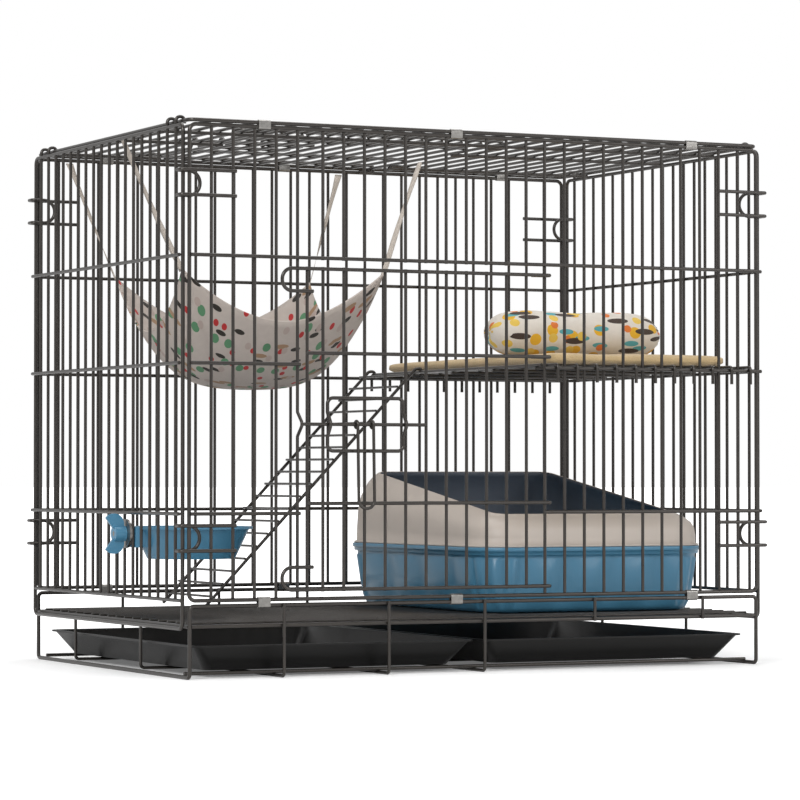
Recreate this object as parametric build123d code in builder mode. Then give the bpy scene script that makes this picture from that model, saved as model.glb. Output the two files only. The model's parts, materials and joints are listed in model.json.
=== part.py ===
from build123d import *
import math
import os

# Folding wire cage for cats, standing on its wire base, with its fitted furniture.
# Millimetres, +Z up, front towards -Y. The origin is on the floor at the centre of the base.

# Overall sizes
width = 750.0
depth = 500.0
panel_top = 630.0
panel_bottom = 89.5

# Wires
infill_d = 3.8
rail_d = 4.2
frame_d = 4.6
floor_wire_d = 3.0
weld_bite = 0.03
free_gap = 0.35
running_gap = 0.05
frame_bend = 8.0
tight_bend = 5.0

# Heights of the horizontal wires that run round the four walls
low_rail = 187.7
middle_rail = 358.8
high_rail = 481.4

# Front wall: the doorway lies between the latch jamb and the hinge wire
latch_jamb = 134.0
hinge_wire = 456.0
left_bays = 5
right_bays = 11
wall_bays = 28
side_bays = 19

# Door, in the plane of its opening: u across, v up on the front wall and back on the roof
door_wire_first = 166.0
door_wire_last = 431.0
door_wires = 11
door_stile = 146.0
door_bars = (100.0, 199.0, 372.0, 469.0)
door_bar_overrun = 2.5
door_loop_left = 113.0
door_loop_tail = 152.0
door_loop_height = 26.0
door_loop_bend = 12.5
hook_reach = 6.0
hook_bend = 4.3
hook_tail = 15.0

# Latch on each door
latch_v = 290.0
bolt_d = 4.0
bolt_left = 138.5
bolt_right = 295.0
guide_left = 170.0
guide_right = 267.0
guide_half_height = 30.5
guide_bend = 7.0
kink_half = 14.0
kink_flat = 2.0
kink_bend = 3.0
handle_d = 3.6
handle_left = 205.0
handle_right = 225.0
handle_drop = 97.0
handle_lean = 3.0
eye_turn = 270.0

# Roof
roof_gap = 0.4
roof_rail_front = 100.0
roof_rail_middle = 226.0
roof_rail_back = 427.0
roof_door_shift = 19.0

# Side walls
side_offset = 6.0
side_setback = 6.0
side_foot = 57.5
roof_hook_bays = (1, 2, 17, 18)

# Corner clasps on the front and back walls
clasp_heights = (160.0, 563.5)
clasp_pitch = 28.5
clasp_weld = 56.0
clasp_reach = 12.0
clasp_depth = 15.0
clasp_entry = 3.0
clasp_corner = 3.5

# Metal bands that join two rails
band_width = 15.0
band_wall = 0.8
band_places = (92.0, 338.0, 657.5)
rail_step = 6.4

# Base
base_inset = 1.0
floor_rail = 60.0
floor_edge = 24.0
floor_lengthwise = 35
floor_crosswise = 18
floor_cross_edge = 20.0
floor_cross_end = 2.4
long_wires = (116.0, 249.0, 374.0)
short_wires = (521.7, 671.0)
side_long_wires = (161.0, 378.0)
ground_rail_inset = 23.0
wire_overrun = 2.5

# Drip trays
tray_gap = 4.0
tray_length = 478.0
tray_flare = 21.0
tray_wall = 2.0
tray_rim = 37.5
tray_lip = 3.0
tray_corner = 10.0

# Shelf, its mat and bolster
shelf_edge = 460.0
shelf_margin = 15.0
shelf_cross = 5
shelf_cross_edge = 26.0
shelf_hook_drop = 21.0
shelf_hook_bend = 4.0
mat_left = 470.0
mat_right = 727.0
mat_front = 18.0
mat_thickness = 13.0
mat_corner = 12.0
mat_draw = 5.0
mat_levels = ((0, 1), (0.3, 0), (0.62, 0), (0.9, 1), (1, 4))
mat_gap = 0.05
bolster_x = 590.0
bolster_y = 176.0
bolster_length = 240.0
bolster_height = 60.0
bolster_waist = 0.9
bolster_flat = 1.0
bolster_round = 21.6
bolster_bulge = (4.8, 18.6)

# Ladder
ladder_near = 348.0
ladder_width = 140.0
ladder_foot_x = 165.0
ladder_d = 4.0
rung_d = 3.0
rungs = 19
rung_start = 14.0
ladder_hook_bend = 4.2
ladder_top_bend = 6.0
ladder_hook_drop = 9.0

# Hammock, corner points of the cloth and the tops of its straps
cloth_left = 84.0
cloth_right = 352.0
cloth_front = 228.0
cloth_back = 448.0
cloth_edge_z = 480.0
cloth_edge_sag = 42.0
cloth_sag = 96.0
cloth_end_sag = 70.0
cloth_thick = 3.0
cloth_stations = 5
strap_width = 12.0
strap_thick = 1.6
near_left_hang = 217.0
near_right_hang = 330.0
far_hang_bays = (1.5, 15.5)

# Bowl and its clamp
bowl_bay = 6.5
bowl_z = 163.0
bowl_radius = 70.0
bowl_depth = 38.0
bowl_wall = 2.4
bowl_lip = 3.0
bowl_base = 52.0
bowl_rim_rise = 8.0
stud_d = 6.0
stud_seat = 4.0
lug_size = 34.0
lug_height = 24.0
lug_thick = 7.0
lug_root = 35.0
washer_radius = 17.0
washer_thick = 3.0
nut_radius = 9.0
nut_length = 14.0
nut_gap = 0.3
wing_reach = 23.0
wing_rise = 10.0
wing_foot = 1.5
wing_root = 12.65
wing_tip = 18.4
wing_notch = 10.5
wing_thick = 4.0

# Litter box
litter_x = 573.0
litter_y = 278.0
pan_width = 312.0
pan_length = 398.0
pan_taper = 11.0
pan_height = 79.0
pan_corner = 42.0
pan_wall = 2.5
pan_lip = 6.0
pan_lip_thick = 3.0
hood_rise_front = 40.0
hood_rise_back = 92.0
hood_draw = 30.0
hood_shoulder_draw = 10.0
hood_shoulder_share = 0.6
hood_wall = 2.5

half_w = width / 2
half_d = depth / 2
base_half = half_w - base_inset
infill_r = infill_d / 2
rail_r = rail_d / 2
frame_r = frame_d / 2
rail_layer = infill_r + rail_r - weld_bite
frame_layer = infill_r - frame_r

# Heights and places that follow from the sizes above
wall_frame = half_d + frame_layer
base_top = panel_bottom - rail_step
roof_z = panel_top + frame_d + roof_gap
outer_wire_y = wall_frame + frame_r + infill_r - weld_bite
side_wire_x = base_half - frame_r - infill_r + weld_bite
side_wire_z = 3 * infill_r - weld_bite
ground_rail_z = infill_d + rail_r - weld_bite
tray_low = ground_rail_z + rail_r + free_gap
shelf_z = middle_rail + rail_r + infill_r + free_gap
ladder_foot_z = floor_rail + 2 * floor_wire_d + ladder_d / 2 + free_gap

front = Plane(origin=(0, -half_d, 0), x_dir=(1, 0, 0), z_dir=(0, -1, 0))
back = Plane(origin=(0, half_d, 0), x_dir=(-1, 0, 0), z_dir=(0, 1, 0))
left = Plane(origin=(-half_w - side_offset, 0, 0), x_dir=(0, -1, 0), z_dir=(-1, 0, 0))
right = Plane(origin=(half_w + side_offset, 0, 0), x_dir=(0, 1, 0), z_dir=(1, 0, 0))
roof = Plane(origin=(0, 0, roof_z + infill_r - frame_r), x_dir=(1, 0, 0), z_dir=(0, 0, 1))


def wire(plane, points, diameter, bend=0.0):
    """One wire through points in a plane's own coordinates.

    Each straight run and each bend is a solid of its own, and they meet face to face.
    """
    placed = [plane.from_local_coords(point) for point in points]
    with BuildLine() as route:
        if len(placed) == 2:
            Line(*placed)
        else:
            FilletPolyline(*placed, radius=bend)
    pieces = []
    for edge in route.edges():
        with BuildPart() as piece:
            with BuildSketch(Plane(origin=edge @ 0, z_dir=edge % 0)):
                Circle(diameter / 2)
            sweep(path=edge)
        pieces.append(piece.part.solid())
    return pieces


def write_node(name, solids):
    """Labels a group of solids as one node and writes its STEP file."""
    node = Compound(solids, label=name)
    export_step(node, f"parts/{name}.step")
    return node


def frame_loop(plane, half, bottom, top, layer):
    """A rectangular frame with bent corners, as four straight wires and four bends."""
    middle = (bottom + top) / 2
    corners = [
        (-half, middle, layer), (-half, top, layer), (half, top, layer),
        (half, middle, layer), (half, bottom, layer), (-half, bottom, layer),
        (-half, middle, layer),
    ]
    return wire(plane, corners[:4], frame_d, frame_bend) + wire(plane, corners[3:], frame_d, frame_bend)


def even(first, last, count):
    """Evenly spaced places, both ends among them."""
    return [first + (last - first) * i / (count - 1) for i in range(count)]


def from_left(place):
    """X of a place that is measured from the left wall."""
    return place - half_w


def from_front(place):
    """Y of a place that is measured from the front wall."""
    return place - half_d


# Distances at which an upright ends in the side of a frame rail
upright_top = panel_top - frame_r + weld_bite
upright_bottom = panel_bottom + frame_r - weld_bite


def upright(plane, u, low=upright_bottom, high=upright_top):
    """One straight upright of a wall."""
    return wire(plane, [(u, low, 0), (u, high, 0)], infill_d)


def kinked_upright(plane, u):
    """The latch jamb: an upright with an outward kink that keeps the bolt in."""
    out = bolt_layer + bolt_d / 2 + free_gap + infill_r
    points = [
        (u, upright_bottom, 0), (u, latch_v - kink_half, 0), (u, latch_v - kink_flat, out),
        (u, latch_v + kink_flat, out), (u, latch_v + kink_half, 0), (u, upright_top, 0),
    ]
    return wire(plane, points, infill_d, kink_bend)


def rail(plane, u_from, u_to, height):
    """One horizontal wire on the outside of a wall's uprights."""
    return wire(plane, [(u_from, height, rail_layer), (u_to, height, rail_layer)], rail_d)


# Door layers: the door stands a free gap outside the panel wires that it passes
door_layer = free_gap + weld_bite
bar_layer = door_layer + rail_layer
bolt_layer = door_layer + infill_r + free_gap + handle_d + running_gap + bolt_d / 2
eye_radius = bolt_d / 2 + running_gap + handle_d / 2


def front_wall():
    """Front panel with its doorway."""
    pieces = frame_loop(front, half_w, panel_bottom, panel_top, frame_layer)
    for place in even(0, latch_jamb, left_bays + 1)[1:-1]:
        pieces += upright(front, from_left(place))
    pieces += kinked_upright(front, from_left(latch_jamb))
    for place in even(door_wire_first, door_wire_last, door_wires):
        pieces += upright(front, from_left(place), low=high_rail - rail_r)
    for place in even(hinge_wire, width, right_bays + 1)[:-1]:
        pieces += upright(front, from_left(place))
    pieces += rail(front, -half_w, half_w, high_rail)
    for height in (low_rail, middle_rail):
        pieces += rail(front, -half_w, from_left(latch_jamb) + infill_r, height)
        pieces += rail(front, from_left(hinge_wire) - infill_r, half_w, height)
    return pieces


def back_wall():
    """Back panel, the same size as the front with no doorway."""
    pieces = frame_loop(back, half_w, panel_bottom, panel_top, frame_layer)
    for u in even(-half_w, half_w, wall_bays + 1)[1:-1]:
        pieces += upright(back, u)
    for height in (low_rail, middle_rail, high_rail):
        pieces += rail(back, -half_w, half_w, height)
    return pieces


def side_wall(plane):
    """Side panel: its frame reaches down to the floor rail, and four uprights hook the roof."""
    half = half_d - side_setback
    pieces = frame_loop(plane, half, side_foot, panel_top, frame_layer)
    reach = half - frame_r + weld_bite
    pieces += wire(plane, [(-reach, panel_bottom, 0), (reach, panel_bottom, 0)], rail_d)
    places = even(-half_d, half_d, side_bays + 1)
    for i in range(1, side_bays):
        pieces += upright(plane, places[i], low=panel_bottom + rail_r - weld_bite)
        if i in roof_hook_bays:
            pieces += roof_hook(plane, places[i])
    for height in (low_rail, middle_rail, high_rail):
        pieces += rail(plane, -half, half, height)
    return pieces


def roof_hook(plane, u):
    """The end of an upright, which goes on above the top rail and curls over the roof rail."""
    over = side_offset + frame_r + infill_r + free_gap
    peak = roof_z + over / 2
    start = panel_top + frame_r - weld_bite
    points = [(u, start, 0), (u, peak, 0), (u, peak, -over), (u, roof_z - frame_r, -over)]
    return wire(plane, points, infill_d, over / 2 - free_gap)


def clasps(plane):
    """Four corner clasps of one wall: each a hairpin whose closed end turns in behind the post."""
    layer = rail_layer
    behind = layer - clasp_depth
    pieces = []
    for height in clasp_heights:
        for side in (-1, 1):
            outer = side * (half_w + clasp_reach)
            weld = side * (half_w - clasp_weld)
            inner = side * (half_w - clasp_entry)
            bow = side * (half_w - clasp_entry - clasp_pitch / 2)
            low = height - clasp_pitch / 2
            high = height + clasp_pitch / 2
            for level in (low, high):
                run = [(weld, level, layer), (outer, level, layer)]
                run += [(outer, level, behind), (inner, level, behind)]
                pieces += wire(plane, run, rail_d, clasp_corner)
            with BuildLine() as arc:
                ThreePointArc(*[plane.from_local_coords(point) for point in (
                    (inner, low, behind), (bow, height, behind), (inner, high, behind))])
            for half_arc in (arc.edge().trim(0, 0.5), arc.edge().trim(0.5, 1)):
                with BuildPart() as bend:
                    with BuildSketch(Plane(origin=half_arc @ 0, z_dir=half_arc % 0)):
                        Circle(rail_r)
                    sweep(path=half_arc)
                pieces.append(bend.part.solid())
    return pieces


def roof_panel():
    """Roof panel with its doorway."""
    flat = Plane(origin=(0, 0, roof_z), x_dir=(1, 0, 0), z_dir=(0, 0, 1))
    corners = [(0, -wall_frame, 0), (half_w, -wall_frame, 0), (half_w, wall_frame, 0), (0, wall_frame, 0)]
    mirrored = [(-x, y, z) for x, y, z in corners]
    pieces = wire(flat, corners, frame_d, frame_bend) + wire(flat, mirrored, frame_d, frame_bend)
    reach = wall_frame - frame_r + weld_bite
    middle_rails = [from_front(place) for place in (roof_rail_middle, roof_rail_back)]
    front_rail = from_front(roof_rail_front)
    for place in even(0, latch_jamb, left_bays + 1)[1:-1] + even(hinge_wire, width, right_bays + 1)[:-1]:
        pieces += wire(roof, [(from_left(place), -reach, 0), (from_left(place), reach, 0)], infill_d)
    pieces += kinked_roof_jamb(reach)
    for place in even(door_wire_first, door_wire_last, door_wires):
        x = from_left(place)
        pieces += wire(roof, [(x, -reach, 0), (x, front_rail + wire_overrun, 0)], infill_d)
    under = -rail_layer
    pieces += wire(roof, [(-half_w, front_rail, under), (half_w, front_rail, under)], rail_d)
    for y in middle_rails:
        pieces += wire(roof, [(-half_w, y, under), (from_left(latch_jamb) + infill_r, y, under)], rail_d)
        pieces += wire(roof, [(from_left(hinge_wire) - infill_r, y, under), (half_w, y, under)], rail_d)
    return pieces


def kinked_roof_jamb(reach):
    """The roof's latch jamb, with the kink that keeps the roof door's bolt."""
    u = from_left(latch_jamb)
    v = from_front(latch_v + roof_door_shift)
    out = bolt_layer + bolt_d / 2 + free_gap + infill_r
    points = [
        (u, -reach, 0), (u, v - kink_half, 0), (u, v - kink_flat, out),
        (u, v + kink_flat, out), (u, v + kink_half, 0), (u, reach, 0),
    ]
    return wire(roof, points, infill_d, kink_bend)


def door(plane, v0):
    """One door: uprights, four bars that hook round the hinge wire, and two stop loops."""
    pieces = []
    low = v0 + door_bars[0] - door_bar_overrun
    high = v0 + door_bars[-1] + door_bar_overrun
    places = [door_stile] + even(door_wire_first, door_wire_last, door_wires)
    for place in places:
        u = from_left(place)
        pieces += wire(plane, [(u, low, door_layer), (u, high, door_layer)], infill_d)
    hinge = from_left(hinge_wire)
    for i, bar in enumerate(door_bars):
        v = v0 + bar
        behind = bar_layer - 2 * hook_bend - 2 * free_gap
        turn = hinge + hook_reach
        hooked = [(turn, v, bar_layer), (turn, v, behind), (hinge - hook_tail, v, behind)]
        if i in (0, len(door_bars) - 1):
            turned = v + door_loop_height * (1 if i == 0 else -1)
            loop = from_left(door_loop_left)
            tail = from_left(door_loop_tail)
            start = [(tail, turned, bar_layer), (loop, turned, bar_layer), (loop, v, bar_layer)]
            pieces += wire(plane, start + [(hinge - hook_tail, v, bar_layer)], rail_d, door_loop_bend)
        else:
            start = (from_left(door_stile) - infill_r, v, bar_layer)
            pieces += wire(plane, [start, (hinge - hook_tail, v, bar_layer)], rail_d)
        pieces += wire(plane, [(hinge - hook_tail, v, bar_layer)] + hooked, rail_d, hook_bend)
    return pieces


def latch_guide(plane, v0):
    """The rounded wire frame that holds the bolt, with a kink in each upright side."""
    out = bolt_layer + bolt_d / 2 + free_gap + rail_r
    v = v0 + latch_v
    middle = from_left((guide_left + guide_right) / 2)
    pieces = []
    for edge in (from_left(guide_left), from_left(guide_right)):
        points = [
            (middle, v - guide_half_height, bar_layer), (edge, v - guide_half_height, bar_layer),
            (edge, v - kink_half, bar_layer), (edge, v - kink_flat, out), (edge, v + kink_flat, out),
            (edge, v + kink_half, bar_layer), (edge, v + guide_half_height, bar_layer),
            (middle, v + guide_half_height, bar_layer),
        ]
        radii = [guide_bend] + [kink_bend] * 4 + [guide_bend]
        pieces += wire(plane, points, rail_d, radii)
    return pieces


def latch_bolt(plane, v0):
    """The sliding bolt."""
    v = v0 + latch_v
    ends = [(from_left(place), v, bolt_layer) for place in (bolt_left, bolt_right)]
    return wire(plane, ends, bolt_d)


def latch_handle(plane, v0):
    """The U handle, with an eye round the bolt at the top of each leg."""
    v = v0 + latch_v
    front_layer = bolt_layer + eye_radius
    bottom = v - handle_drop
    bend = (handle_right - handle_left) / 2 - free_gap
    first = from_left(handle_left)
    second = from_left(handle_right)
    points = [
        (first, v, front_layer), (first, bottom, front_layer + handle_lean),
        (second, bottom, front_layer + handle_lean), (second, v, front_layer),
    ]
    pieces = wire(plane, points, handle_d, bend)
    for u in (first, second):
        centre = plane.from_local_coords((u, v, bolt_layer))
        start = plane.from_local_coords((u, v, front_layer))
        with BuildPart() as eye:
            with BuildSketch(Plane(origin=start, x_dir=plane.x_dir, z_dir=plane.y_dir)):
                Circle(handle_d / 2)
            revolve(axis=Axis(centre, -plane.x_dir), revolution_arc=eye_turn)
        pieces.append(eye.part.solid())
    return pieces


def band(centre, along, across, separation, wire_radius, wall, length):
    """A metal or cloth loop round one wire, or round two that are a separation apart.

    The loop's length lies along the wires, and the separation lies across them.
    """
    start = Vector(*centre) - Vector(*along) * (length / 2)
    clear = wire_radius + running_gap
    with BuildPart() as loop:
        with BuildSketch(Plane(origin=start, x_dir=across, z_dir=along)):
            for radius, mode in ((clear + wall, Mode.ADD), (clear, Mode.SUBTRACT)):
                if separation:
                    SlotCenterToCenter(separation, 2 * radius, mode=mode)
                else:
                    Circle(radius, mode=mode)
        extrude(amount=length)
    return loop.part.solid()


def bands(lower, upper):
    """The bands that hold two rails together, three along the front and three along the back."""
    middle = (lower + upper) / 2
    return [
        band((from_left(place), side * wall_frame, middle), (1, 0, 0), (0, 0, 1), upper - lower, frame_r,
             band_wall, band_width)
        for side in (-1, 1) for place in band_places
    ]


def base_frame():
    """The stand: a rail and legs of one bent wire, floor rails, and the wires that run under."""
    ground = frame_r
    pieces = []
    for side in (-1, 1):
        x = side * base_half
        loop = [
            (0, -wall_frame, base_top), (x, -wall_frame, base_top), (x, -wall_frame, ground),
            (x, wall_frame, ground), (x, wall_frame, base_top), (0, wall_frame, base_top),
        ]
        pieces += wire(Plane.XY, loop, frame_d, tight_bend)
        end = wall_frame - frame_r + weld_bite
        pieces += wire(Plane.XY, [(x, -end, floor_rail), (x, end, floor_rail)], frame_d)
        end = base_half - frame_r + weld_bite
        y = side * wall_frame
        pieces += wire(Plane.XY, [(-end, y, floor_rail), (end, y, floor_rail)], frame_d)
        y = side * (half_d - ground_rail_inset)
        pieces += wire(Plane.XY, [(-end, y, ground_rail_z), (end, y, ground_rail_z)], rail_d)
        for place in short_wires:
            x = from_left(place)
            y = side * outer_wire_y
            run = [(x, y, floor_rail - wire_overrun), (x, y, base_top + wire_overrun)]
            pieces += wire(Plane.XY, run, infill_d)
    for place in long_wires:
        x = from_left(place)
        y = outer_wire_y
        top = base_top + wire_overrun
        run = [(x, -y, top), (x, -y, infill_r), (x, y, infill_r), (x, y, top)]
        pieces += wire(Plane.XY, run, infill_d, tight_bend)
    for place in side_long_wires:
        x = side_wire_x
        y = from_front(place)
        top = floor_rail + wire_overrun
        run = [(-x, y, top), (-x, y, side_wire_z), (x, y, side_wire_z), (x, y, top)]
        pieces += wire(Plane.XY, run, infill_d, tight_bend)
    return pieces


def floor_grid():
    """The floor: wires from front rail to back rail, and cross wires on top of them."""
    pieces = []
    end = wall_frame - frame_r + weld_bite
    for place in even(floor_edge, width - floor_edge, floor_lengthwise):
        x = from_left(place)
        pieces += wire(Plane.XY, [(x, -end, floor_rail), (x, end, floor_rail)], floor_wire_d)
    z = floor_rail + floor_wire_d - weld_bite
    end = base_half - floor_cross_end
    for place in even(floor_cross_edge, depth - floor_cross_edge, floor_crosswise):
        y = from_front(place)
        pieces += wire(Plane.XY, [(-end, y, z), (end, y, z)], floor_wire_d)
    return pieces


def basin(centre, height, size, taper, corner, wall, lip, lip_thick):
    """An open flared box: a floor, leaning walls and a lip round the rim."""
    x, y, low = centre
    across, along = size
    inner_low = low + wall
    high = low + height
    with BuildPart() as body:
        with BuildSketch(Plane(origin=(x, y, low))):
            RectangleRounded(across - 2 * taper, along - 2 * taper, corner)
        with BuildSketch(Plane(origin=(x, y, high))):
            RectangleRounded(across, along, corner)
        loft()
        with BuildSketch(Plane(origin=(x, y, high - lip_thick))):
            RectangleRounded(across + 2 * lip, along + 2 * lip, corner + lip)
        extrude(amount=lip_thick)
        with BuildSketch(Plane(origin=(x, y, inner_low))):
            RectangleRounded(across - 2 * (taper + wall), along - 2 * (taper + wall), corner - wall)
        with BuildSketch(Plane(origin=(x, y, high))):
            RectangleRounded(across - 2 * wall, along - 2 * wall, corner - wall)
        loft(mode=Mode.SUBTRACT)
    return body.part.solid()


def tray(side):
    """One drip tray, on the left or on the right."""
    inner = from_left(long_wires[-1]) + infill_r + tray_gap
    outer = side_wire_x - infill_r - tray_gap
    across = outer - inner - 2 * tray_lip
    centre = (side * (inner + outer) / 2, 0, tray_low)
    size = (across, tray_length - 2 * tray_lip)
    return [basin(centre, tray_rim - tray_low, size, tray_flare, tray_corner, tray_wall, tray_lip, tray_wall)]


def shelf():
    """The wire shelf, whose wires hook over the middle rails of the front and back walls."""
    pieces = []
    pitch = (width - hinge_wire) / right_bays
    out = half_d + rail_layer + rail_r + infill_r + free_gap
    for i in range(right_bays):
        x = from_left(hinge_wire + (i + 0.5) * pitch)
        low = shelf_z - shelf_hook_drop
        run = [(x, -out, low), (x, -out, shelf_z), (x, out, shelf_z), (x, out, low)]
        pieces += wire(Plane.XY, run, infill_d, shelf_hook_bend)
    end = half_d - shelf_margin
    edge = from_left(shelf_edge)
    pieces += wire(Plane.XY, [(edge, -end, shelf_z), (edge, end, shelf_z)], infill_d)
    z = shelf_z - rail_layer
    right_end = half_w - frame_r - 2 * wire_overrun
    for place in even(shelf_cross_edge, depth - shelf_cross_edge, shelf_cross):
        y = from_front(place)
        pieces += wire(Plane.XY, [(edge - wire_overrun, y, z), (right_end, y, z)], rail_d)
    return pieces


def mat():
    """The mat on the shelf: a thin cushion with drawn-in sides and a slight crown."""
    low = shelf_z + infill_r + mat_gap
    across = mat_right - mat_left
    along = depth - 2 * mat_front
    x = from_left((mat_left + mat_right) / 2)
    with BuildPart() as cushion:
        for level, draws in mat_levels:
            trim = 2 * draws * mat_draw
            with BuildSketch(Plane(origin=(x, 0, low + level * mat_thickness))):
                RectangleRounded(across - trim, along - trim, mat_corner)
        loft(ruled=True)
    return [cushion.part.solid()]


def bolster():
    """The bolster on the mat: a round pillow with full ends and a slight waist, flat below."""
    low = shelf_z + infill_r + 2 * mat_gap + mat_thickness
    radius = bolster_height / 2
    x = from_left(bolster_x)
    half = bolster_length / 2
    shoulder = half - bolster_round
    bulge_in, bulge_up = bolster_bulge
    waist = radius * bolster_waist
    axis_z = low + radius - bolster_flat
    section = Plane(origin=(x, from_front(bolster_y), axis_z), x_dir=(1, 0, 0), z_dir=(0, -1, 0))
    with BuildPart() as pillow:
        with BuildSketch(section):
            with BuildLine():
                Line((-half, 0), (half, 0))
                ThreePointArc((half, 0), (half - bulge_in, bulge_up), (shoulder, radius))
                ThreePointArc((shoulder, radius), (0, waist), (-shoulder, radius))
                ThreePointArc((-shoulder, radius), (bulge_in - half, bulge_up), (-half, 0))
            make_face()
        revolve(axis=Axis((x, from_front(bolster_y), axis_z), (1, 0, 0)))
        split(bisect_by=Plane(origin=(x, from_front(bolster_y), low), z_dir=(0, 0, 1)), keep=Keep.TOP)
    return [pillow.part.solid()]


def ladder():
    """The ladder: one bent wire each side that hooks over the shelf's edge wire, and rungs."""
    pieces = []
    edge = from_left(shelf_edge)
    over = infill_r + ladder_d / 2 + free_gap
    foot_x = from_left(ladder_foot_x)
    foot_z = ladder_foot_z
    top_x = edge - over
    top_z = shelf_z + over
    slope = math.atan2(top_z - foot_z, top_x - foot_x)
    for y in (from_front(ladder_near), from_front(ladder_near + ladder_width)):
        run = [
            (foot_x, y, foot_z), (top_x, y, top_z), (edge + over, y, top_z),
            (edge + over, y, top_z - ladder_hook_drop),
        ]
        pieces += wire(Plane.XY, run, ladder_d, [ladder_top_bend, ladder_hook_bend - free_gap])
    step = (ladder_d + rung_d) / 2 - weld_bite
    length = math.hypot(top_x - foot_x, top_z - foot_z)
    for along in even(rung_start, length - rung_start, rungs):
        x = foot_x + along * math.cos(slope) - step * math.sin(slope)
        z = foot_z + along * math.sin(slope) + step * math.cos(slope)
        near = from_front(ladder_near) - ladder_d / 2
        far = from_front(ladder_near + ladder_width) + ladder_d / 2
        pieces += wire(Plane.XY, [(x, near, z), (x, far, z)], rung_d)
    return pieces


def hammock_cloth():
    """The cloth of the hammock: a trough between four corners, its long edges sagging too."""
    with BuildPart() as cloth:
        for i in range(cloth_stations):
            t = i / (cloth_stations - 1)
            swell = 4 * t * (1 - t)
            x = from_left(cloth_left + (cloth_right - cloth_left) * t)
            edge = cloth_edge_z - cloth_edge_sag * swell
            low = edge - cloth_end_sag - (cloth_sag - cloth_end_sag) * swell
            near = from_front(cloth_front)
            far = from_front(cloth_back)
            middle = (near + far) / 2
            with BuildSketch(Plane(origin=(x, 0, 0), x_dir=(0, 1, 0), z_dir=(1, 0, 0))):
                with BuildLine():
                    ThreePointArc((near, edge), (middle, low), (far, edge))
                    Line((far, edge), (far, edge - cloth_thick))
                    under = edge - cloth_thick
                    ThreePointArc((far, under), (middle, low - cloth_thick), (near, under))
                    Line((near, edge - cloth_thick), (near, edge))
                make_face()
        loft()
    return [cloth.part.solid()]


def strap(corner, top, along):
    """One flat strap from a corner of the cloth up to the loop at its top."""
    start = Vector(*corner)
    end = Vector(*top)
    run = end - start
    with BuildPart() as piece:
        with BuildSketch(Plane(origin=start, x_dir=along, z_dir=run)):
            Rectangle(strap_width, strap_thick)
        extrude(amount=run.length)
    return piece.part.solid()


def hammock_straps():
    """Four straps: two hang from the roof's own wires, two from the rails at the back."""
    clear = running_gap + strap_thick / 2
    rise = cloth_edge_z + free_gap
    near, far = from_front(cloth_front) + strap_width / 2, from_front(cloth_back) - strap_width / 2
    left_x, right_x = from_left(cloth_left), from_left(cloth_right)
    hinge_z = roof_z + infill_r - frame_r
    rails = (panel_top + roof_z) / 2
    y_way, x_way, up = (0, 1, 0), (1, 0, 0), (0, 0, 1)
    drop = frame_r + clear
    left_hang = (-half_w, from_front(near_left_hang))
    right_hang = (from_left(hinge_wire), from_front(near_right_hang))
    pieces = [
        band((*left_hang, roof_z), y_way, up, 0, frame_r, strap_thick, strap_width),
        strap((left_x, near, rise), (left_hang[0] + drop, left_hang[1], roof_z - drop), y_way),
        band((*right_hang, hinge_z), y_way, up, 0, infill_r, strap_thick, strap_width),
        strap((right_x, near, rise), (right_hang[0] - drop, right_hang[1], hinge_z - drop), y_way),
    ]
    for x, bay in zip((left_x, right_x), far_hang_bays):
        top = from_left(bay * width / wall_bays)
        over = roof_z - panel_top
        pieces.append(band((top, wall_frame, rails), x_way, up, over, frame_r, strap_thick, strap_width))
        pieces.append(strap((x, far, rise), (top, wall_frame - drop, panel_top - drop), x_way))
    return pieces


# The bowl's clamp passes between two uprights of the left wall
bowl_y = from_front(depth * bowl_bay / side_bays)
bowl_plane = Plane(origin=(-half_w - side_offset, bowl_y, bowl_z), x_dir=(0, -1, 0), z_dir=(-1, 0, 0))
clamp_face = infill_r + mat_gap


def feeder_bowl():
    """The round bowl, with the lug at its rim that bears on the inside of the wall."""
    lug_outer = -half_w - side_offset + clamp_face
    x = lug_outer + lug_thick + bowl_radius
    rim = bowl_z + bowl_rim_rise
    low = rim - bowl_depth
    with BuildPart() as bowl:
        with BuildSketch(Plane(origin=(x, bowl_y, low))):
            Circle(bowl_base)
        with BuildSketch(Plane(origin=(x, bowl_y, rim))):
            Circle(bowl_radius)
        loft()
        with BuildSketch(Plane(origin=(x, bowl_y, rim - bowl_lip))):
            Circle(bowl_radius + bowl_lip)
        extrude(amount=bowl_lip)
        lug_z = rim - lug_height / 2
        with BuildSketch(Plane(origin=(lug_outer, bowl_y, lug_z), z_dir=(1, 0, 0), x_dir=(0, 1, 0))):
            Rectangle(lug_size, lug_height)
        extrude(amount=lug_thick + lug_root)
        with BuildSketch(Plane(origin=(x, bowl_y, low + bowl_wall))):
            Circle(bowl_base - bowl_wall)
        with BuildSketch(Plane(origin=(x, bowl_y, rim))):
            Circle(bowl_radius - bowl_wall)
        loft(mode=Mode.SUBTRACT)
        with BuildSketch(Plane(origin=(lug_outer, bowl_y, bowl_z), z_dir=(1, 0, 0), x_dir=(0, 1, 0))):
            Circle(stud_d / 2 + running_gap)
        extrude(amount=stud_seat, mode=Mode.SUBTRACT)
    return [bowl.part.solid()]


def feeder_clamp():
    """The stud that screws into the lug, and the washer outside the wall."""
    length = stud_seat + 2 * clamp_face + washer_thick + nut_gap + nut_length
    with BuildPart() as stud:
        with BuildSketch(bowl_plane.offset(-clamp_face - stud_seat)):
            Circle(stud_d / 2)
        extrude(amount=length)
    with BuildPart() as washer:
        with BuildSketch(bowl_plane.offset(clamp_face)):
            Circle(washer_radius)
            Circle(stud_d / 2 + running_gap, mode=Mode.SUBTRACT)
        extrude(amount=washer_thick)
    return [stud.part.solid(), washer.part.solid()]


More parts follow.
